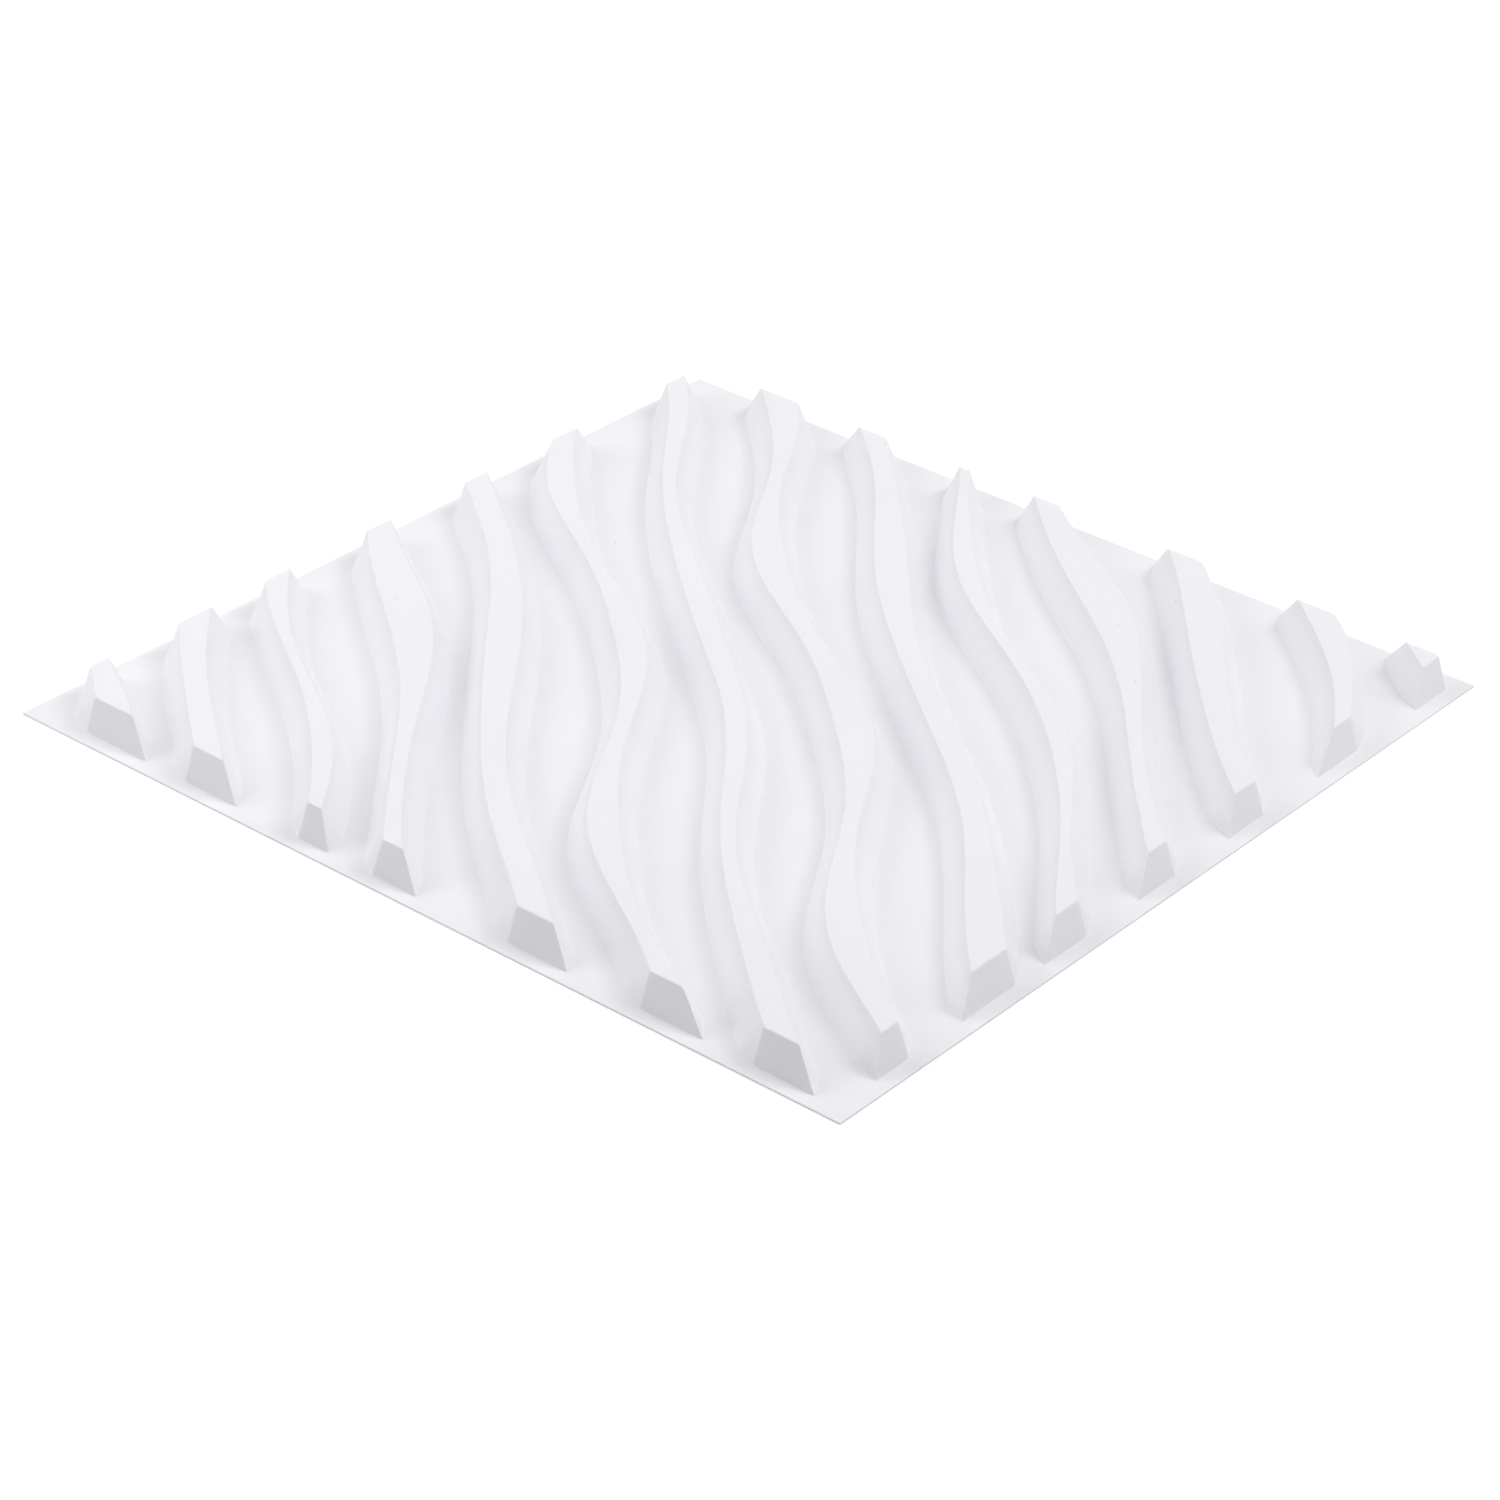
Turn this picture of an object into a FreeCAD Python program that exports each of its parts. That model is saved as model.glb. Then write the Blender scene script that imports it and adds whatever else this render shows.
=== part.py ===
"""Wall panel tile: one square sheet of white PVC formed into fourteen wavy ribs.

The sheet lies on its back. The origin is the middle of the back, +Z points out of
the wall, and X and Y run along the sides of the square. The ribs run along one
diagonal, so a place on the panel is also given along the ribs and across them.
"""
import FreeCAD, Part
import math
import os
from collections import namedtuple

# Driving sizes, in millimetres and degrees
SIDE = 500.0             # side of the square tile
GAUGE = 1.0              # thickness of the formed sheet
RELIEF = 17.5            # rise of the ribs above the sheet
MARGIN = 8.0             # flat border between the ribs' ends and the sheet's edge
WALL_DRAFT = 26.4        # lean of the ribs' side walls from upright
CORNER_DRAFT = 15.0      # lean of the side walls at the ribs' corners
END_DRAFT = 16.5         # lean of the ribs' end walls from upright
CORNER_RUN = 15.0        # run of the flat facet at a rib's corner, along its foot
FOOT_RADIUS = 1.0        # hollow sweep of the walls into the sheet
CREST_RADIUS = 1.0       # rounding of the ribs' top edges
REPEAT = 346.0           # distance over which the pattern of ribs repeats
FIRST_LINE = -325.6      # left line of the pattern's first rib, across from the middle

# Fineness of the faces
POINTS_PER_WAVE = 10     # points that carry one wave of an edge
FOOT_BANDS = 2           # faces across a hollow sweep
CREST_BANDS = 1          # faces across a rounded top edge
CORNER_SHARE = 0.25      # largest share of a side that one corner's facet takes
CROSSING_ROUNDS = 40     # rounds that settle where an edge meets the border

# The pattern of seven ribs repeats across the panel, and each wave repeats along its rib
# over the same distance. The pattern's own sizes are shares of that distance.

# An edge of a rib's flat top swings about a straight line. The swing has a crest at a
# place along the rib, and a ripple of half the swing's length gives the wave its shape.
Edge = namedtuple("Edge", "swing crest ripple ripple_crest")

# A rib has a step to the next rib's left line and a width to its own right line.
Rib = namedtuple("Rib", "step width left right")

RIBS = [
    Rib(0.149, 0.0379, Edge(0.0332, 0.176, 0.0064, -0.098), Edge(0.0347, 0.165, 0.0055, 0.179)),
    Rib(0.138, 0.0387, Edge(0.0188, 0.341, 0.0020, -0.078), Edge(0.0150, 0.399, 0.0020, 0.220)),
    Rib(0.131, 0.0234, Edge(0.0306, 0.220, 0.0032, -0.017), Edge(0.0289, 0.220, 0.0055, 0.171)),
    Rib(0.139, 0.0390, Edge(0.0179, 0.032, 0.0017, -0.029), Edge(0.0289, -0.101, 0.0032, -0.156)),
    Rib(0.156, 0.0413, Edge(0.0173, -0.289, 0.0023, 0.133), Edge(0.0223, -0.251, 0.0012, 0.000)),
    Rib(0.145, 0.0324, Edge(0.0353, -0.072, 0.0058, 0.139), Edge(0.0353, -0.066, 0.0052, -0.072)),
    Rib(0.142, 0.0295, Edge(0.0176, 0.087, 0.0029, 0.147), Edge(0.0214, 0.046, 0.0043, 0.191)),
]

# A square's diagonal is this many times its side
DIAGONAL = math.sqrt(2.0)


class Skin:
    """One side of the formed sheet, with its flat floor at a height from the back.

    A wall has a hollow foot, a straight slope and a rounded crest. Its places out are
    measured from the sharp edge where the slope would meet the flat top, and its heights
    from the floor.
    """

    def __init__(self, floor):
        self.floor = floor
        self.drop = GAUGE - floor
        self.foot_radius = FOOT_RADIUS + self.drop
        self.crest_radius = max(CREST_RADIUS - self.drop, 0.0)

    def heights(self):
        """Heights of the edges of the bands of faces that make up a wall."""
        sweep = math.pi / 2.0 - math.radians(WALL_DRAFT)
        heights = []
        for index in range(FOOT_BANDS + 1):
            heights.append(self.foot_radius * (1.0 - math.cos(sweep * index / FOOT_BANDS)))
        if self.crest_radius > 0.0:
            for index in range(CREST_BANDS, 0, -1):
                below = self.crest_radius * (1.0 - math.cos(sweep * index / CREST_BANDS))
                heights.append(RELIEF - below)
        heights.append(RELIEF)
        return heights

    def out(self, height, draft):
        """How far out a wall of this draft stands at a height."""
        lean = math.radians(draft)
        tangent = math.tan(math.pi / 4.0 - lean / 2.0)
        inset = self.drop * tangent
        if height < self.foot_radius * (1.0 - math.sin(lean)):
            below = self.foot_radius - height
            run = self.foot_radius * tangent - math.sqrt(self.foot_radius ** 2 - below ** 2)
            return RELIEF * math.tan(lean) + run - inset
        if height > RELIEF - self.crest_radius * (1.0 - math.sin(lean)):
            above = self.crest_radius - (RELIEF - height)
            run = math.sqrt(self.crest_radius ** 2 - above ** 2) - self.crest_radius * tangent
            return run - inset
        return (RELIEF - height) * math.tan(lean) - inset

    def reach(self, edge, line, way, height):
        """First and last place along a rib's side between its end walls, at a height."""
        half_crest = SIDE / 2.0 - MARGIN - RELIEF * math.tan(math.radians(END_DRAFT))
        half = half_crest + self.out(height, END_DRAFT)
        corner_line = line + way * self.out(height, CORNER_DRAFT)
        return crossing(edge, corner_line, half, -1), crossing(edge, corner_line, half, 1)

    def edge_point(self, edge, line, along, height):
        """Point of an edge that swings about a line, at a place along the rib."""
        across = line + wave(edge, along)
        x = (across + along) / DIAGONAL
        y = (across - along) / DIAGONAL
        return FreeCAD.Vector(x, y, self.floor + height)

    def side_edges(self, edge, line, way, height, spans):
        """One side of a rib's outline: a smooth curve with a short line to each corner.

        The side stands out from the line of the rib's top edge, one way across.
        """
        start, end = self.reach(edge, line, way, height)
        run = min(CORNER_RUN, CORNER_SHARE * (end - start))
        first = start + run
        last = end - run
        wall_line = line + way * self.out(height, WALL_DRAFT)
        corner_line = line + way * self.out(height, CORNER_DRAFT)
        shares = [index / spans for index in range(spans + 1)]
        points = []
        for share in shares:
            points.append(self.edge_point(edge, wall_line, first + share * (last - first), height))
        curve = Part.BSplineCurve()
        curve.interpolate(Points=points, Parameters=shares)
        start_corner = self.edge_point(edge, corner_line, start, height)
        end_corner = self.edge_point(edge, corner_line, end, height)
        start_line = Part.makeLine(start_corner, points[0])
        end_line = Part.makeLine(end_corner, points[-1])
        return [start_line, curve.toShape(), end_line]

    def rib_outlines(self, rib, left_line):
        """Outlines of a rib at the edges of its bands, from the floor up.

        Round an outline, every second edge is the short line at a corner. A rib is left out
        where the border leaves it a top edge shorter than the rounding.
        """
        right_line = left_line + rib.width * REPEAT
        left_start, left_end = self.reach(rib.left, left_line, -1, RELIEF)
        right_start, right_end = self.reach(rib.right, right_line, 1, RELIEF)
        lengths = (left_end - left_start, right_end - right_start)
        if min(lengths) < CREST_RADIUS:
            return []
        spans = math.ceil(max(lengths) * POINTS_PER_WAVE / REPEAT)
        outlines = []
        for height in self.heights():
            left = self.side_edges(rib.left, left_line, -1, height, spans)
            right = self.side_edges(rib.right, right_line, 1, height, spans)
            start = Part.makeLine(left[0].Vertexes[0].Point, right[0].Vertexes[0].Point)
            end = Part.makeLine(left[-1].Vertexes[0].Point, right[-1].Vertexes[0].Point)
            outlines.append([start] + left + [end] + right[::-1])
        return outlines

    def faces(self):
        """The ribs' walls and flat tops, and the floor that they rise from."""
        corner = SIDE / DIAGONAL
        line = FIRST_LINE - REPEAT * math.ceil((FIRST_LINE + corner) / REPEAT)
        wires = [square(SIDE / 2.0, self.floor)]
        faces = []
        while line < corner:
            for rib in RIBS:
                outlines = self.rib_outlines(rib, line)
                if outlines:
                    wires.append(Part.Wire(outlines[0]))
                    faces.extend(wall_faces(outlines))
                    faces.append(Part.Face(Part.Wire(outlines[-1])))
                line += rib.step * REPEAT
        faces.append(Part.makeFace(wires, "Part::FaceMakerBullseye"))
        return faces


def wave(edge, along):
    """Distance of an edge from its own line at a place along the rib."""
    turn = 2.0 * math.pi
    place = along / REPEAT
    swing = edge.swing * math.cos(turn * (place - edge.crest))
    ripple = edge.ripple * math.cos(2.0 * turn * (place - edge.ripple_crest))
    return (swing + ripple) * REPEAT


def crossing(edge, line, half, way):
    """Place along a rib where its edge meets the sides of a square about the middle."""
    along = 0.0
    for _ in range(CROSSING_ROUNDS):
        along = way * (half * DIAGONAL - abs(line + wave(edge, along)))
    return along


def wall_faces(outlines):
    """Faces of a rib's wall, in bands between its outlines."""
    faces = []
    for lower, upper in zip(outlines, outlines[1:]):
        for index, (low, high) in enumerate(zip(lower, upper)):
            if index % 2:
                faces.extend(corner_faces(low, high))
            else:
                faces.append(Part.makeRuledSurface(low, high))
    return faces


def corner_faces(low, high):
    """Two flat faces between two short lines that start at a rib's corner."""
    low_corner, low_inner = [vertex.Point for vertex in low.Vertexes]
    high_corner, high_inner = [vertex.Point for vertex in high.Vertexes]
    wall = Part.makePolygon([high_corner, high_inner, low_inner, high_corner])
    facet = Part.makePolygon([high_corner, low_inner, low_corner, high_corner])
    return [Part.Face(wall), Part.Face(facet)]


def square(half, height):
    """Square outline about the panel's middle."""
    corners = [(-half, -half), (half, -half), (half, half), (-half, half), (-half, -half)]
    return Part.makePolygon([FreeCAD.Vector(x, y, height) for x, y in corners])


def panel():
    """The whole sheet: its face, its back one gauge below, and the rim between them."""
    face = Skin(GAUGE)
    back = Skin(0.0)
    rim = Part.makeLoft([square(SIDE / 2.0, 0.0), square(SIDE / 2.0, GAUGE)], False, True)
    shell = Part.makeShell(face.faces() + back.faces() + rim.Faces)
    shell.sewShape()
    return Part.makeSolid(shell)


os.makedirs("parts", exist_ok=True)
wall_panel = panel()
wall_panel.exportStep("parts/wall_panel.step")
print("volume", round(wall_panel.Volume), "mm3, valid", wall_panel.isValid())
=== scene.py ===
"""Dresses the wall panel tile: a thin sheet of matte white PVC formed into wavy ribs.

Everything is in metres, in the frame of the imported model. The sheet lies on its back,
with the middle of its back at the origin. The ribs run along one diagonal of the square,
so a place on the panel is also given along the ribs and across them.
"""

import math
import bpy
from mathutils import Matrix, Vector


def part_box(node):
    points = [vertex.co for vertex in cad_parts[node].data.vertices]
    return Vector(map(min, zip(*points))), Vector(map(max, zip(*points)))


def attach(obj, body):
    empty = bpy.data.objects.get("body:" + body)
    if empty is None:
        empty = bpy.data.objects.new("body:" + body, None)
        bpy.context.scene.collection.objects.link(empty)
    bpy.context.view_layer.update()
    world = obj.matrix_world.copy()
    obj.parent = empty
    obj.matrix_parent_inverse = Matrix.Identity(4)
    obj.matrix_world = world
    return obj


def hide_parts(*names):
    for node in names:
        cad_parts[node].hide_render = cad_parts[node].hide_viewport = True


bl_info = {
    "name": "Wavy wall panel tile",
    "version": (1, 0, 0),
    "blender": (4, 5, 0),
    "location": "View3D > Sidebar > Wall panel",
    "description": "Makes a formed white PVC wall tile with wavy ribs, and a plain studio for it",
    "category": "Object",
}

from collections import namedtuple

import bpy
from mathutils import Quaternion, Vector
from mathutils.geometry import delaunay_2d_cdt

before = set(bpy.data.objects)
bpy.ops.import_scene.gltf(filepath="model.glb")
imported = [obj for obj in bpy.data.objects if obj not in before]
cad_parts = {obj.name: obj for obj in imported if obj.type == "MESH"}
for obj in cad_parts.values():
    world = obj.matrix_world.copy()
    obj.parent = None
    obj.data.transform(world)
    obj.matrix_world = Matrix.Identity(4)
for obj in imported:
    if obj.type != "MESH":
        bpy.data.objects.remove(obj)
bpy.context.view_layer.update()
node_low, node_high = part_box("wall_panel")

# A square's diagonal is this many times its side
DIAGONAL = math.sqrt(2.0)

# Sheet of which the panel is formed
GAUGE = 0.001

# Making of the mesh: rounds that settle where an edge meets the border, how much the points
# crowd towards a rib's ends, further steps for that, and the angle from which an edge is sharp
CROSSING_ROUNDS = 40
CROWDING = 0.7
END_STEPS = 8
SHARP_ANGLE = math.radians(40.0)

# Filling of the flat floor: only inside its outlines, with points this close taken as one
FILL_INSIDE = 1
MERGE_DISTANCE = 1e-7

# Step along the ribs, and rows of faces across a foot, a slope, a crest and a top
Fineness = namedtuple("Fineness", "step foot slope crest top")
FACE_FINENESS = Fineness(0.004, 5, 4, 3, 4)
BACK_FINENESS = Fineness(0.008, 3, 2, 1, 2)

# Place of the back's material on the sheet, after the face's
BACK_SLOT = 1

# Rigid PVC bends light by this much, and its matte skin gives back under a third of the usual gloss
PVC_IOR = 1.53
PVC_GLOSS = 0.15

# Lengths over which the finish of the PVC changes, and how finely each change is broken up
CLOUD_LENGTH = 0.11
CLOUD_DETAIL = 2.0
PATCH_LENGTH = 0.03
PATCH_DETAIL = 3.0
SWAY_LENGTH = 0.045
SWAY_DETAIL = 0.0
GRAIN_LENGTH = 0.0012
GRAIN_DETAIL = 2.0

# The finish gives its height in metres, so the bump takes it at full size
BUMP_DISTANCE = 1.0

# Grey specks in the plastic: distance between their possible places, radius and colour
SPECK_SPACING = 0.02
SPECK_RADIUS = 0.0004
SPECK_COLOUR = (0.45, 0.45, 0.46, 1.0)

# Part of a noise's spread that holds most of its values
NOISE_LOW = 0.3
NOISE_HIGH = 0.7

# The pattern of seven ribs repeats across the panel, and each wave repeats along its rib
# over the same distance. The pattern's own sizes are shares of that distance.

# An edge of a rib's flat top swings about a straight line. The swing has a crest at a
# place along the rib, and a ripple of half the swing's length gives the wave its shape.
Edge = namedtuple("Edge", "swing crest ripple ripple_crest")

# A rib has a step to the next rib's left line and a width to its own right line.
Rib = namedtuple("Rib", "step width left right")

RIBS = [
    Rib(0.149, 0.0379, Edge(0.0332, 0.176, 0.0064, -0.098), Edge(0.0347, 0.165, 0.0055, 0.179)),
    Rib(0.138, 0.0387, Edge(0.0188, 0.341, 0.0020, -0.078), Edge(0.0150, 0.399, 0.0020, 0.220)),
    Rib(0.131, 0.0234, Edge(0.0306, 0.220, 0.0032, -0.017), Edge(0.0289, 0.220, 0.0055, 0.171)),
    Rib(0.139, 0.0390, Edge(0.0179, 0.032, 0.0017, -0.029), Edge(0.0289, -0.101, 0.0032, -0.156)),
    Rib(0.156, 0.0413, Edge(0.0173, -0.289, 0.0023, 0.133), Edge(0.0223, -0.251, 0.0012, 0.000)),
    Rib(0.145, 0.0324, Edge(0.0353, -0.072, 0.0058, 0.139), Edge(0.0353, -0.066, 0.0052, -0.072)),
    Rib(0.142, 0.0295, Edge(0.0176, 0.087, 0.0029, 0.147), Edge(0.0214, 0.046, 0.0043, 0.191)),
]

# Soft boxes, with their places along the ribs, across them and up, sides, and power in watts
SoftBox = namedtuple("SoftBox", "name along across height side power")

SOFT_BOXES = [
    SoftBox("overhead", 0.0, -0.1, 2.0, 1.8, 12.6),
    SoftBox("high_right", 0.0, 1.73, 2.46, 1.2, 23.5),
    SoftBox("right_side", 0.0, 2.7, 1.8, 2.7, 35.0),
    SoftBox("left_side", 0.0, -1.7, 1.07, 1.4, 14.6),
    SoftBox("back_left", -1.0, -1.0, 1.41, 1.0, 5.9),
]

# The floor lies this far below the panel's back, so that the two flat faces don't touch
FLOOR_GAP = 0.0001

# What the camera sees of the floor: a grey that takes shadows, and a glow that lifts it to white.
# The glow grows outwards between two distances from the panel's middle, as the lamps' light fades.
FLOOR_SHADE = 0.35
FLOOR_GLOW = 0.71
FULL_GLOW = 1.0
GLOW_START = 0.5
GLOW_END = 1.5

# Width of the camera's sensor in millimetres, and how far the camera sees
SENSOR_WIDTH = 36.0
SIGHT = 100.0


# Settings


class SheetSettings(bpy.types.PropertyGroup):
    """Sizes of the formed sheet."""

    side: bpy.props.FloatProperty(
        name="Side",
        description="Side of the square tile",
        default=node_high.x - node_low.x,
        subtype="DISTANCE",
        unit="LENGTH",
    )
    gauge: bpy.props.FloatProperty(
        name="Gauge",
        description="Thickness of the formed sheet",
        default=GAUGE,
        subtype="DISTANCE",
        unit="LENGTH",
    )
    relief: bpy.props.FloatProperty(
        name="Relief",
        description="Rise of the ribs above the sheet",
        default=node_high.z - node_low.z - GAUGE,
        subtype="DISTANCE",
        unit="LENGTH",
    )
    margin: bpy.props.FloatProperty(
        name="Margin",
        description="Flat border between the ribs' ends and the sheet's edge",
        default=0.008,
        subtype="DISTANCE",
        unit="LENGTH",
    )
    repeat: bpy.props.FloatProperty(
        name="Repeat",
        description="Distance over which the pattern of ribs repeats",
        default=0.346,
        subtype="DISTANCE",
        unit="LENGTH",
    )
    first_line: bpy.props.FloatProperty(
        name="First line",
        description="Left line of the pattern's first rib, across from the middle",
        default=-0.3256,
        subtype="DISTANCE",
        unit="LENGTH",
    )
    wall_draft: bpy.props.FloatProperty(
        name="Wall draft",
        description="Lean of the ribs' side walls from upright",
        default=math.radians(26.4),
        subtype="ANGLE",
        unit="ROTATION",
    )
    corner_draft: bpy.props.FloatProperty(
        name="Corner draft",
        description="Lean of the side walls at the ribs' corners",
        default=math.radians(15.0),
        subtype="ANGLE",
        unit="ROTATION",
    )
    end_draft: bpy.props.FloatProperty(
        name="End draft",
        description="Lean of the ribs' end walls from upright",
        default=math.radians(16.5),
        subtype="ANGLE",
        unit="ROTATION",
    )
    corner_run: bpy.props.FloatProperty(
        name="Corner run",
        description="Run of the flat facet at a rib's corner, along its foot",
        default=0.015,
        subtype="DISTANCE",
        unit="LENGTH",
    )
    # The photo's creases are sharper than the solid's feet, so this radius is smaller than theirs
    foot_radius: bpy.props.FloatProperty(
        name="Foot radius",
        description="Hollow sweep of the walls into the sheet",
        default=0.0004,
        subtype="DISTANCE",
        unit="LENGTH",
    )
    crest_radius: bpy.props.FloatProperty(
        name="Crest radius",
        description="Rounding of the ribs' top edges",
        default=0.001,
        subtype="DISTANCE",
        unit="LENGTH",
    )


class FinishSettings(bpy.types.PropertyGroup):
    """Look of the white PVC."""

    colour: bpy.props.FloatVectorProperty(
        name="Colour",
        description="Body colour of the white PVC",
        default=(0.902, 0.9, 0.931),
        size=3,
        subtype="COLOR",
        min=0.0,
        max=1.0,
    )
    clouds: bpy.props.FloatProperty(
        name="Clouds",
        description="How much darker the body colour is in its darker places",
        default=0.02,
        min=0.0,
        max=1.0,
        subtype="FACTOR",
    )
    patches: bpy.props.FloatProperty(
        name="Patches",
        description="How far the roughness goes from its middle, up and down",
        default=0.05,
        min=0.0,
        max=1.0,
        subtype="FACTOR",
    )
    face_roughness: bpy.props.FloatProperty(
        name="Face roughness",
        description="Middle of the face's roughness",
        default=0.52,
        min=0.0,
        max=1.0,
        subtype="FACTOR",
    )
    back_roughness: bpy.props.FloatProperty(
        name="Back roughness",
        description="Middle of the back's roughness",
        default=0.68,
        min=0.0,
        max=1.0,
        subtype="FACTOR",
    )
    face_grain: bpy.props.FloatProperty(
        name="Face grain",
        description="Depth of the fine grain on the face",
        default=0.0000016,
        min=0.0,
        precision=6,
        subtype="DISTANCE",
        unit="LENGTH",
    )
    back_grain: bpy.props.FloatProperty(
        name="Back grain",
        description="Depth of the fine grain on the back",
        default=0.000005,
        min=0.0,
        precision=6,
        subtype="DISTANCE",
        unit="LENGTH",
    )
    sway: bpy.props.FloatProperty(
        name="Sway",
        description="Depth of the slight unevenness that forming leaves in the sheet",
        default=0.00005,
        min=0.0,
        precision=6,
        subtype="DISTANCE",
        unit="LENGTH",
    )
    specks: bpy.props.FloatProperty(
        name="Specks",
        description="Share of the possible places that hold a grey speck",
        default=0.5,
        min=0.0,
        max=1.0,
        subtype="FACTOR",
    )


class StudioSettings(bpy.types.PropertyGroup):
    """Floor, light and camera."""

    floor_side: bpy.props.FloatProperty(
        name="Floor side",
        description="Side of the square floor",
        default=12.0,
        subtype="DISTANCE",
        unit="LENGTH",
    )
    floor_colour: bpy.props.FloatVectorProperty(
        name="Floor colour",
        description="Colour that the floor casts back on the panel",
        default=(0.9, 0.9, 0.9),
        size=3,
        subtype="COLOR",
        min=0.0,
        max=1.0,
    )
    sky: bpy.props.FloatProperty(
        name="Sky",
        description="Strength of the even light from all round",
        default=0.1,
        min=0.0,
    )
    light: bpy.props.FloatProperty(
        name="Soft boxes",
        description="Strength of all the soft boxes together",
        default=1.0,
        min=0.0,
    )
    camera_place: bpy.props.FloatVectorProperty(
        name="Camera place",
        description="Where the camera stands",
        default=(1.1617, -1.4621, 1.0777),
        size=3,
        subtype="TRANSLATION",
        unit="LENGTH",
    )
    camera_target: bpy.props.FloatVectorProperty(
        name="Camera target",
        description="Point on the floor at the middle of the picture",
        default=(0.02636, -0.0393, 0.0),
        size=3,
        subtype="TRANSLATION",
        unit="LENGTH",
    )
    camera_roll: bpy.props.FloatProperty(
        name="Camera roll",
        description="Turn of the camera about its own view",
        default=math.radians(2.14),
        subtype="ANGLE",
        unit="ROTATION",
    )
    camera_lens: bpy.props.FloatProperty(
        name="Camera lens",
        description="Focal length in millimetres",
        default=106.64,
        subtype="DISTANCE_CAMERA",
        unit="CAMERA",
    )


# The formed sheet


class Wall:
    """Section of a drafted wall: a hollow foot, a straight slope and a rounded crest.

    Places out are measured from the sharp edge where the slope would meet the flat top,
    and heights from the floor. The drop lowers the section through the sheet.
    """

    def __init__(self, draft, foot_radius, crest_radius, relief, drop):
        self.lean = draft
        self.relief = relief
        self.sweep = math.pi / 2.0 - draft
        self.tangent = math.tan(self.sweep / 2.0)
        self.inset = drop * self.tangent
        self.foot_radius = foot_radius + drop
        self.crest_radius = max(crest_radius - drop, 0.0)

    def foot_heights(self, bands):
        """Heights of the rows up the hollow foot, from the floor to the slope."""
        angles = [self.sweep * index / bands for index in range(bands + 1)]
        return [self.foot_radius * (1.0 - math.cos(angle)) for angle in angles]

    def crest_heights(self, bands):
        """Heights of the rows up the rounded crest, from the slope to the flat top."""
        if self.crest_radius == 0.0:
            return [self.relief]
        angles = [self.sweep * index / bands for index in range(bands, -1, -1)]
        return [self.relief - self.crest_radius * (1.0 - math.cos(angle)) for angle in angles]

    def out(self, height):
        """How far out the wall stands at a height."""
        if height < self.foot_radius * (1.0 - math.sin(self.lean)):
            below = self.foot_radius - height
            run = self.foot_radius * self.tangent - math.sqrt(self.foot_radius ** 2 - below ** 2)
            return self.relief * math.tan(self.lean) + run - self.inset
        if height > self.relief - self.crest_radius * (1.0 - math.sin(self.lean)):
            above = self.crest_radius - (self.relief - height)
            run = math.sqrt(max(self.crest_radius ** 2 - above ** 2, 0.0))
            return run - self.crest_radius * self.tangent - self.inset
        return (self.relief - height) * math.tan(self.lean) - self.inset


def wave(edge, along, repeat):
    """Distance of an edge from its own line at a place along the rib."""
    turn = 2.0 * math.pi
    place = along / repeat
    swing = edge.swing * math.cos(turn * (place - edge.crest))
    ripple = edge.ripple * math.cos(2.0 * turn * (place - edge.ripple_crest))
    return (swing + ripple) * repeat


def crossing(edge, line, half, way, repeat):
    """Place along a rib where its edge meets the sides of a square about the middle."""
    along = 0.0
    for _ in range(CROSSING_ROUNDS):
        along = way * (half * DIAGONAL - abs(line + wave(edge, along, repeat)))
    return along


def row_between(first, last, spans):
    """Points inside a straight line, without its two ends."""
    return [first.lerp(last, index / spans) for index in range(1, spans)]


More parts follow.
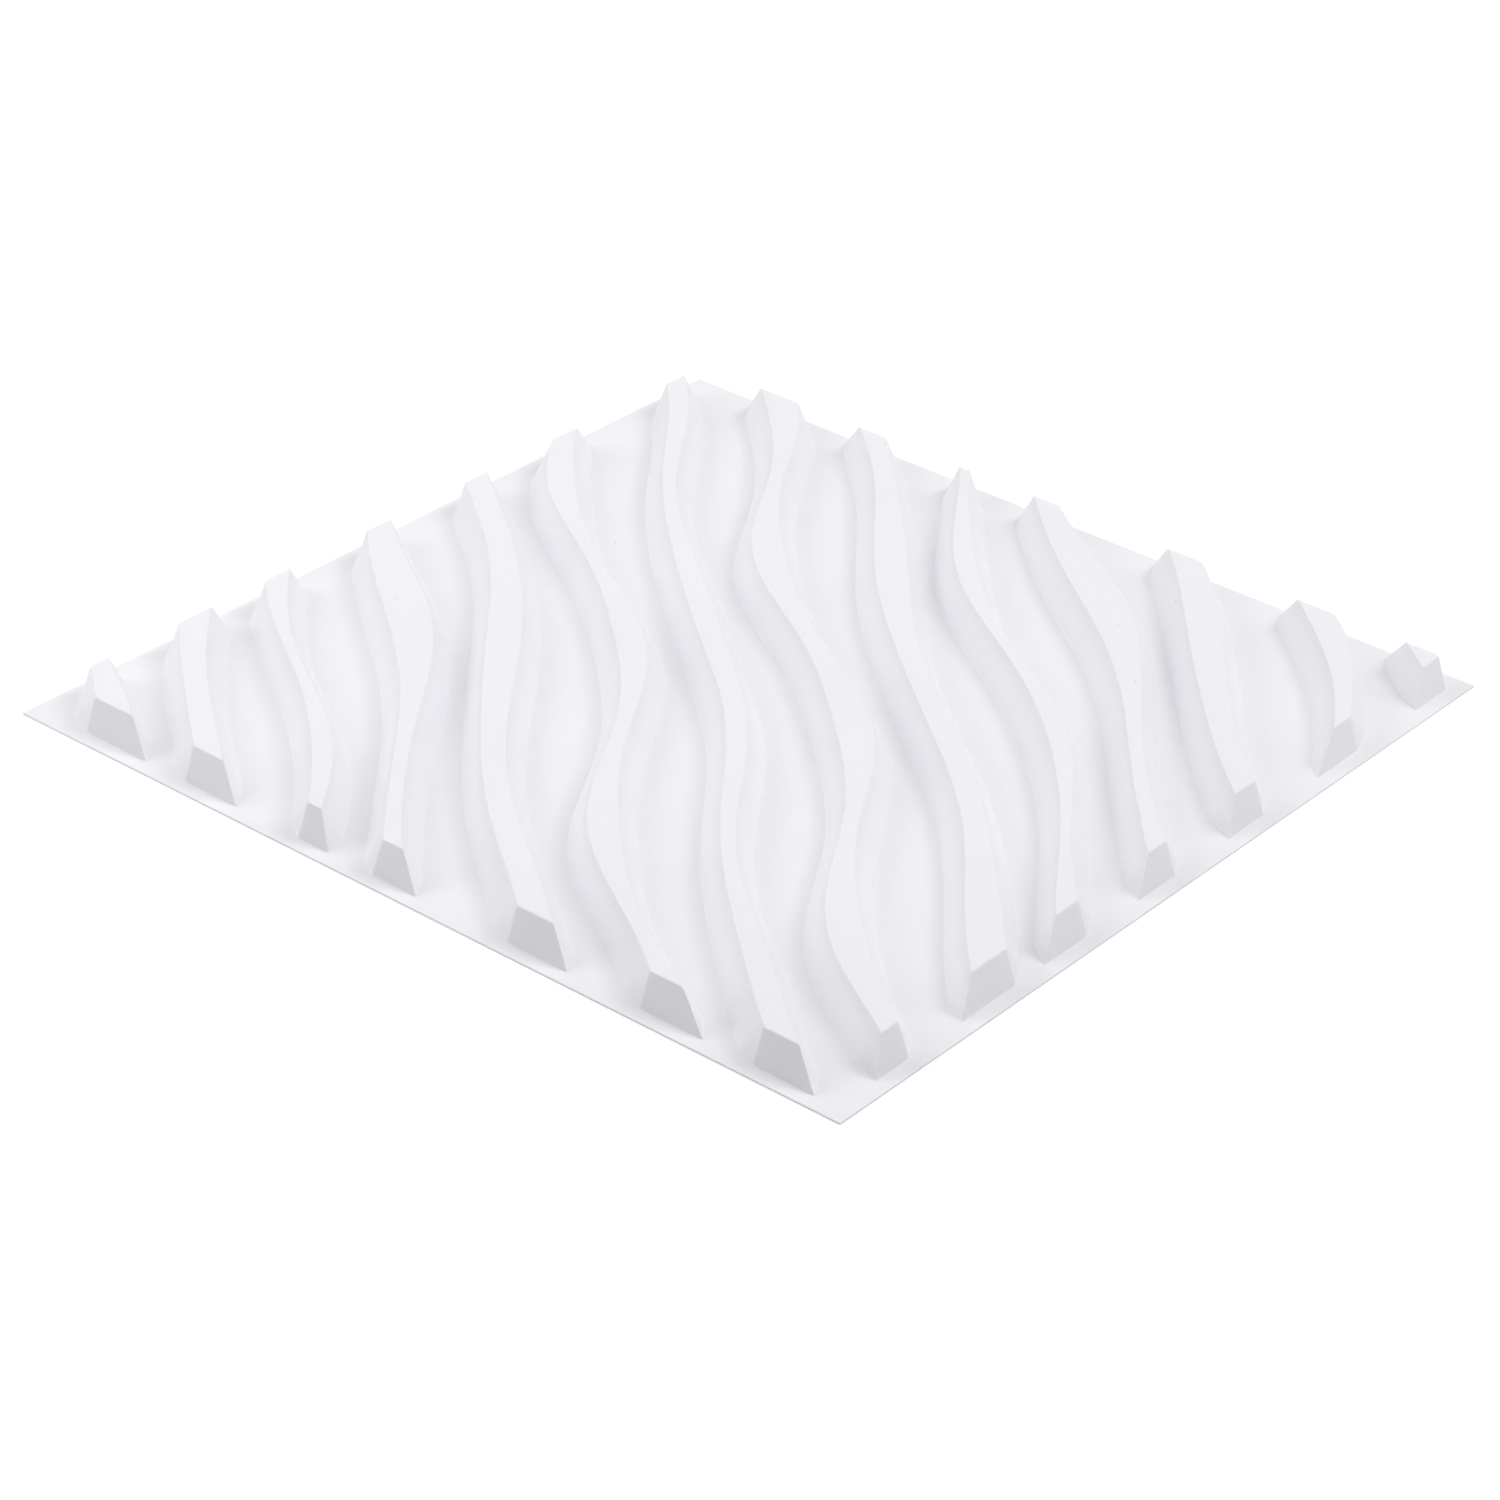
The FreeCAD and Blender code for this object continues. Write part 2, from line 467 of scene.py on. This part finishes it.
class SheetSide:
    """Collects the points and faces of one side of the sheet."""

    def __init__(self, settings, floor, fineness):
        section = (settings.foot_radius, settings.crest_radius, settings.relief, settings.gauge - floor)
        self.settings = settings
        self.floor = floor
        self.fineness = fineness
        self.side_wall = Wall(settings.wall_draft, *section)
        self.corner_wall = Wall(settings.corner_draft, *section)
        self.end_wall = Wall(settings.end_draft, *section)
        spread = self.side_wall.out(0.0) - self.corner_wall.out(0.0)
        self.facet_slope = spread / settings.corner_run
        self.points = []
        self.faces = []
        self.feet = []
        self.rim = []

    def add_points(self, flat_points, height):
        """Adds points at a height above the floor and gives their numbers."""
        first = len(self.points)
        self.points.extend((point.x, point.y, self.floor + height) for point in flat_points)
        return list(range(first, len(self.points)))

    def heights(self):
        """Heights of the rows up a wall."""
        feet = self.side_wall.foot_heights(self.fineness.foot)
        crests = self.side_wall.crest_heights(self.fineness.crest)
        slopes = []
        for index in range(1, self.fineness.slope):
            share = index / self.fineness.slope
            slopes.append(feet[-1] + (crests[0] - feet[-1]) * share)
        return feet + slopes + crests

    def reach(self, edge, line, way, height):
        """First and last place along a rib's side between its end walls, at a height."""
        settings = self.settings
        end_run = self.end_wall.out(height) - settings.relief * math.tan(settings.end_draft)
        half = settings.side / 2.0 - settings.margin + end_run
        corner_line = line + way * self.corner_wall.out(height)
        start = crossing(edge, corner_line, half, -1, settings.repeat)
        end = crossing(edge, corner_line, half, 1, settings.repeat)
        return start, end

    def side_points(self, edge, line, way, height, spans):
        """Points along one side of a rib at a height, closer together towards its ends.

        The side stands out from the line of the rib's top edge, one way across, as far as
        its wall does and no further than the flat facet at the nearer corner.
        """
        start, end = self.reach(edge, line, way, height)
        wall_out = self.side_wall.out(height)
        corner_out = self.corner_wall.out(height)
        points = []
        for index in range(spans + 1):
            turn = 2.0 * math.pi * index / spans
            share = (turn - CROWDING * math.sin(turn)) / (2.0 * math.pi)
            along = start + share * (end - start)
            from_corner = min(along - start, end - along)
            out = min(wall_out, corner_out + self.facet_slope * from_corner)
            across = line + way * out + wave(edge, along, self.settings.repeat)
            points.append(Vector(((across + along) / DIAGONAL, (across - along) / DIAGONAL)))
        return points

    def spans(self, rib, left_line, right_line):
        """Number of steps along a rib, or none where the border cuts off one of its edges."""
        lengths = []
        for edge, line, way in ((rib.left, left_line, -1), (rib.right, right_line, 1)):
            start, end = self.reach(edge, line, way, self.settings.relief)
            lengths.append(end - start)
        if min(lengths) < self.settings.crest_radius:
            return 0
        return math.ceil(max(lengths) / self.fineness.step) + END_STEPS

    def ring(self, rib, left_line, right_line, height, spans):
        """Closed row of points round a rib at a height."""
        across = self.fineness.top
        left = self.side_points(rib.left, left_line, -1, height, spans)
        right = self.side_points(rib.right, right_line, 1, height, spans)
        end = row_between(left[-1], right[-1], across)
        start = row_between(right[0], left[0], across)
        return left + end + right[::-1] + start

    def add_rib(self, rib, left_line):
        """Adds a rib's walls and flat top, and keeps its foot for the floor."""
        right_line = left_line + rib.width * self.settings.repeat
        spans = self.spans(rib, left_line, right_line)
        if spans == 0:
            return
        rings = []
        for height in self.heights():
            ring = self.ring(rib, left_line, right_line, height, spans)
            rings.append(self.add_points(ring, height))
        for lower, upper in zip(rings, rings[1:]):
            for index in range(len(lower)):
                after = (index + 1) % len(lower)
                self.faces.append((lower[index], lower[after], upper[after], upper[index]))
        self.add_top(rings[-1], spans)
        self.feet.append(rings[0])

    def add_top(self, ring, spans):
        """Fills a rib's top with rows of faces from its left edge to its right one."""
        across = self.fineness.top
        left = ring[:spans + 1]
        right = ring[spans + across:2 * spans + across + 1][::-1]
        rows = [left]
        for column in range(1, across):
            inner = []
            for index in range(1, spans):
                first = Vector(self.points[left[index]])
                last = Vector(self.points[right[index]])
                inner.append(first.lerp(last, column / across))
            start = ring[len(ring) - column]
            end = ring[spans + column]
            first_number = len(self.points)
            self.points.extend(tuple(point) for point in inner)
            rows.append([start] + list(range(first_number, len(self.points))) + [end])
        rows.append(right)
        for row, after in zip(rows, rows[1:]):
            for index in range(spans):
                self.faces.append((row[index], row[index + 1], after[index + 1], after[index]))

    def add_floor(self):
        """Fills the flat floor between the sheet's edge and the ribs' feet."""
        half = self.settings.side / 2.0
        corners = [(-half, -half), (half, -half), (half, half), (-half, half)]
        self.rim = self.add_points([Vector(corner) for corner in corners], 0.0)
        numbers = []
        loops = []
        for loop in [self.rim] + self.feet:
            loops.append(list(range(len(numbers), len(numbers) + len(loop))))
            numbers.extend(loop)
        flat = [Vector(self.points[number][:2]) for number in numbers]
        filled = delaunay_2d_cdt(flat, [], loops, FILL_INSIDE, MERGE_DISTANCE)
        _, _, triangles, point_sources, _, loops_round = filled
        for triangle, loops_here in zip(triangles, loops_round):
            # A triangle of the floor lies inside the rim, which is the first loop, and in no foot
            if loops_here == [0]:
                self.faces.append(tuple(numbers[point_sources[index][0]] for index in triangle))

    def build(self):
        """Adds every rib that crosses the panel, then the floor."""
        settings = self.settings
        corner = settings.side / DIAGONAL
        repeat = settings.repeat
        line = settings.first_line - repeat * math.ceil((settings.first_line + corner) / repeat)
        while line < corner:
            for rib in RIBS:
                self.add_rib(rib, line)
                line += rib.step * repeat
        self.add_floor()


def formed_sheet_mesh(settings):
    """Mesh of the whole sheet: its face, its back one gauge below, and the rim between them."""
    face = SheetSide(settings, settings.gauge, FACE_FINENESS)
    back = SheetSide(settings, 0.0, BACK_FINENESS)
    face.build()
    back.build()
    shift = len(face.points)
    points = face.points + back.points
    faces = list(face.faces)
    faces.extend(tuple(number + shift for number in corners[::-1]) for corners in back.faces)
    top = face.rim
    bottom = [number + shift for number in back.rim]
    for index in range(len(top)):
        after = (index + 1) % len(top)
        faces.append((bottom[index], bottom[after], top[after], top[index]))
    mesh = bpy.data.meshes.new("formed_sheet")
    mesh.from_pydata(points, [], faces)
    first_back = len(face.faces)
    for polygon in mesh.polygons[first_back:first_back + len(back.faces)]:
        polygon.material_index = BACK_SLOT
    mesh.shade_smooth()
    mesh.set_sharp_from_angle(angle=SHARP_ANGLE)
    return mesh


# Finishes


def add_node(tree, kind, inputs=None, **options):
    """Adds a node, sets its options, and sets its inputs or links sockets to them."""
    node = tree.nodes.new(kind)
    for name, value in options.items():
        setattr(node, name, value)
    for name, value in (inputs or {}).items():
        if isinstance(value, bpy.types.NodeSocket):
            tree.links.new(value, node.inputs[name])
        else:
            node.inputs[name].default_value = value
    return node


def add_range(tree, value, from_low, from_high, low, high):
    """Spreads a value from one range over another, from sockets or numbers."""
    inputs = {"Value": value, "From Min": from_low, "From Max": from_high, "To Min": low, "To Max": high}
    return add_node(tree, "ShaderNodeMapRange", inputs).outputs["Result"]


def add_noise(tree, place, length, detail, low, high):
    """Soft noise of about this length, spread over a range."""
    inputs = {"Vector": place, "Scale": 1.0 / length, "Detail": detail}
    noise = add_node(tree, "ShaderNodeTexNoise", inputs).outputs["Fac"]
    return add_range(tree, noise, NOISE_LOW, NOISE_HIGH, low, high)


def add_math(tree, operation, *values):
    """Result of a sum on sockets or numbers."""
    return add_node(tree, "ShaderNodeMath", dict(enumerate(values)), operation=operation).outputs["Value"]


def add_specks(tree, place, share):
    """Mask of small round specks, which only a share of the cells of a loose pattern hold."""
    cells = add_node(tree, "ShaderNodeTexVoronoi", {"Vector": place, "Scale": 1.0 / SPECK_SPACING})
    near = add_math(tree, "LESS_THAN", cells.outputs["Distance"], SPECK_RADIUS / SPECK_SPACING)
    chance = add_node(tree, "ShaderNodeSeparateColor", {"Color": cells.outputs["Color"]})
    chosen = add_math(tree, "LESS_THAN", chance.outputs["Red"], share)
    return add_math(tree, "MULTIPLY", near, chosen)


def formed_pvc_group():
    """Node group with the detail of formed PVC.

    The colour is a little cloudy and has a few specks, the roughness changes in patches, and
    the height has the slight sway that forming leaves and the fine grain of the skin.
    """
    tree = bpy.data.node_groups.new("formed_pvc", "ShaderNodeTree")
    tree.interface.new_socket("Colour", in_out="INPUT", socket_type="NodeSocketColor")
    for name in ("Clouds", "Specks", "Roughness", "Patches", "Grain", "Sway"):
        tree.interface.new_socket(name, in_out="INPUT", socket_type="NodeSocketFloat")
    tree.interface.new_socket("Colour", in_out="OUTPUT", socket_type="NodeSocketColor")
    for name in ("Roughness", "Height"):
        tree.interface.new_socket(name, in_out="OUTPUT", socket_type="NodeSocketFloat")
    given = add_node(tree, "NodeGroupInput").outputs
    place = add_node(tree, "ShaderNodeTexCoord").outputs["Object"]

    darkest = add_math(tree, "SUBTRACT", 1.0, given["Clouds"])
    shade = add_noise(tree, place, CLOUD_LENGTH, CLOUD_DETAIL, darkest, 1.0)
    inputs = {0: given["Colour"], "Scale": shade}
    cloudy = add_node(tree, "ShaderNodeVectorMath", inputs, operation="SCALE")
    specks = add_specks(tree, place, given["Specks"])
    # A mix of colours takes them in its inputs 6 and 7 and gives its result in output 2
    inputs = {"Factor": specks, 6: cloudy.outputs["Vector"], 7: SPECK_COLOUR}
    colour = add_node(tree, "ShaderNodeMix", inputs, data_type="RGBA").outputs[2]

    smoothest = add_math(tree, "SUBTRACT", given["Roughness"], given["Patches"])
    roughest = add_math(tree, "ADD", given["Roughness"], given["Patches"])
    roughness = add_noise(tree, place, PATCH_LENGTH, PATCH_DETAIL, smoothest, roughest)

    grain = add_noise(tree, place, GRAIN_LENGTH, GRAIN_DETAIL, 0.0, given["Grain"])
    sway = add_noise(tree, place, SWAY_LENGTH, SWAY_DETAIL, 0.0, given["Sway"])
    height = add_math(tree, "ADD", sway, grain)

    add_node(tree, "NodeGroupOutput", {"Colour": colour, "Roughness": roughness, "Height": height})
    return tree


def white_pvc_material(name, group, finish, roughness, grain):
    """Matte white PVC with the detail of the group."""
    material = bpy.data.materials.new(name)
    material.use_nodes = True
    tree = material.node_tree
    inputs = {
        "Colour": (*finish.colour, 1.0),
        "Clouds": finish.clouds,
        "Specks": finish.specks,
        "Roughness": roughness,
        "Patches": finish.patches,
        "Grain": grain,
        "Sway": finish.sway,
    }
    detail = add_node(tree, "ShaderNodeGroup", inputs, node_tree=group)
    inputs = {"Height": detail.outputs["Height"], "Distance": BUMP_DISTANCE}
    bump = add_node(tree, "ShaderNodeBump", inputs)
    shader = tree.nodes["Principled BSDF"]
    shader.inputs["IOR"].default_value = PVC_IOR
    shader.inputs["Specular IOR Level"].default_value = PVC_GLOSS
    tree.links.new(detail.outputs["Colour"], shader.inputs["Base Color"])
    tree.links.new(detail.outputs["Roughness"], shader.inputs["Roughness"])
    tree.links.new(bump.outputs["Normal"], shader.inputs["Normal"])
    return material


def seen_or_lit(tree, lit, seen, output):
    """Gives what the camera sees, straight or in a reflection, one shader and the light another."""
    path = add_node(tree, "ShaderNodeLightPath").outputs
    reflected = add_math(tree, "MAXIMUM", path["Is Glossy Ray"], path["Is Transmission Ray"])
    looked_at = add_math(tree, "MAXIMUM", path["Is Camera Ray"], reflected)
    mix = add_node(tree, "ShaderNodeMixShader", {"Fac": looked_at, 1: lit, 2: seen})
    tree.links.new(mix.outputs["Shader"], output.inputs["Surface"])


def floor_material(studio):
    """Pale floor that looks white, with the panel's soft shadow on it."""
    material = bpy.data.materials.new("studio_floor")
    material.use_nodes = True
    tree = material.node_tree
    tree.nodes.clear()
    output = add_node(tree, "ShaderNodeOutputMaterial")
    paint = add_node(tree, "ShaderNodeBsdfDiffuse", {"Color": (*studio.floor_colour, 1.0)})
    grey = (FLOOR_SHADE, FLOOR_SHADE, FLOOR_SHADE, 1.0)
    shade = add_node(tree, "ShaderNodeBsdfDiffuse", {"Color": grey})
    place = add_node(tree, "ShaderNodeTexCoord").outputs["Object"]
    distance = add_node(tree, "ShaderNodeVectorMath", {0: place}, operation="LENGTH").outputs["Value"]
    strength = add_range(tree, distance, GLOW_START, GLOW_END, FLOOR_GLOW, FULL_GLOW)
    glow = add_node(tree, "ShaderNodeEmission", {"Strength": strength})
    white = add_node(tree, "ShaderNodeAddShader", {0: shade.outputs["BSDF"], 1: glow.outputs["Emission"]})
    seen_or_lit(tree, paint.outputs["BSDF"], white.outputs["Shader"], output)
    return material


# Operators


class WALLPANEL_OT_sheet(bpy.types.Operator):
    """Make the formed sheet with its wavy ribs"""

    bl_idname = "wallpanel.sheet"
    bl_label = "Formed sheet"

    def execute(self, context):
        scene = context.scene
        mesh = formed_sheet_mesh(scene.wall_panel_sheet)
        sheet = bpy.data.objects.new("formed_sheet", mesh)
        scene.collection.objects.link(sheet)
        finish = scene.wall_panel_finish
        group = formed_pvc_group()
        face = white_pvc_material("white_pvc_face", group, finish, finish.face_roughness, finish.face_grain)
        back = white_pvc_material("white_pvc_back", group, finish, finish.back_roughness, finish.back_grain)
        mesh.materials.append(face)
        mesh.materials.append(back)
        smooth = sheet.modifiers.new("flat faces stay flat", "WEIGHTED_NORMAL")
        smooth.keep_sharp = True
        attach(sheet, "root")
        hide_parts("wall_panel")
        return {"FINISHED"}


class WALLPANEL_OT_stage(bpy.types.Operator):
    """Make the floor, the light and the camera"""

    bl_idname = "wallpanel.stage"
    bl_label = "Studio"

    def execute(self, context):
        scene = context.scene
        studio = scene.wall_panel_studio
        self.make_floor(scene, studio)
        self.make_sky(scene, studio)
        self.make_soft_boxes(scene, studio)
        self.make_camera(scene, studio)
        scene.view_settings.view_transform = "Standard"
        return {"FINISHED"}

    def make_floor(self, scene, studio):
        """Wide flat floor just below the panel."""
        half = studio.floor_side / 2.0
        mesh = bpy.data.meshes.new("studio_floor")
        corners = [(-half, -half, 0.0), (half, -half, 0.0), (half, half, 0.0), (-half, half, 0.0)]
        mesh.from_pydata(corners, [], [(0, 1, 2, 3)])
        mesh.materials.append(floor_material(studio))
        floor = bpy.data.objects.new("studio_floor", mesh)
        floor.location.z = -FLOOR_GAP
        scene.collection.objects.link(floor)

    def make_sky(self, scene, studio):
        """Even light from all round, behind which the camera sees plain white."""
        world = bpy.data.worlds.new("studio_sky")
        world.use_nodes = True
        scene.world = world
        tree = world.node_tree
        tree.nodes.clear()
        output = add_node(tree, "ShaderNodeOutputWorld")
        white = (1.0, 1.0, 1.0, 1.0)
        sky = add_node(tree, "ShaderNodeBackground", {"Color": white, "Strength": studio.sky})
        backdrop = add_node(tree, "ShaderNodeBackground", {"Color": white})
        seen_or_lit(tree, sky.outputs["Background"], backdrop.outputs["Background"], output)

    def make_soft_boxes(self, scene, studio):
        """Square lamps that all face the panel's middle."""
        for box in SOFT_BOXES:
            x = (box.across + box.along) / DIAGONAL
            y = (box.across - box.along) / DIAGONAL
            place = Vector((x, y, box.height))
            lamp = bpy.data.lights.new(box.name, "AREA")
            lamp.energy = box.power * studio.light
            lamp.size = box.side
            soft_box = bpy.data.objects.new(box.name, lamp)
            soft_box.location = place
            soft_box.rotation_euler = (-place).to_track_quat("-Z", "Y").to_euler()
            scene.collection.objects.link(soft_box)

    def make_camera(self, scene, studio):
        """Camera that sees the panel as the photo does."""
        camera = bpy.data.cameras.new("camera")
        camera.lens = studio.camera_lens
        camera.sensor_width = SENSOR_WIDTH
        camera.clip_end = SIGHT
        camera_object = bpy.data.objects.new("camera", camera)
        place = Vector(studio.camera_place)
        view = Vector(studio.camera_target) - place
        roll = Quaternion((0.0, 0.0, 1.0), studio.camera_roll)
        camera_object.location = place
        camera_object.rotation_euler = (view.to_track_quat("-Z", "Y") @ roll).to_euler()
        scene.collection.objects.link(camera_object)
        scene.camera = camera_object


class WALLPANEL_PT_sidebar(bpy.types.Panel):
    """Lists the settings and the pieces"""

    bl_idname = "WALLPANEL_PT_sidebar"
    bl_label = "Wall panel"
    bl_space_type = "VIEW_3D"
    bl_region_type = "UI"
    bl_category = "Wall panel"

    def draw(self, context):
        scene = context.scene
        for settings in (scene.wall_panel_sheet, scene.wall_panel_finish, scene.wall_panel_studio):
            box = self.layout.box()
            for name in settings.__annotations__:
                box.prop(settings, name)
        self.layout.operator("wallpanel.sheet")
        self.layout.operator("wallpanel.stage")


CLASSES = (
    SheetSettings,
    FinishSettings,
    StudioSettings,
    WALLPANEL_OT_sheet,
    WALLPANEL_OT_stage,
    WALLPANEL_PT_sidebar,
)


def register():
    """Registers the classes and hangs the settings on the scene."""
    for item in CLASSES:
        bpy.utils.register_class(item)
    bpy.types.Scene.wall_panel_sheet = bpy.props.PointerProperty(type=SheetSettings)
    bpy.types.Scene.wall_panel_finish = bpy.props.PointerProperty(type=FinishSettings)
    bpy.types.Scene.wall_panel_studio = bpy.props.PointerProperty(type=StudioSettings)


def unregister():
    """Takes the settings off the scene and unregisters the classes."""
    del bpy.types.Scene.wall_panel_studio
    del bpy.types.Scene.wall_panel_finish
    del bpy.types.Scene.wall_panel_sheet
    for item in reversed(CLASSES):
        bpy.utils.unregister_class(item)


def main():
    """Makes the studio and the panel."""
    register()
    bpy.ops.wallpanel.stage()
    bpy.ops.wallpanel.sheet()


if __name__ == "__main__":
    main()
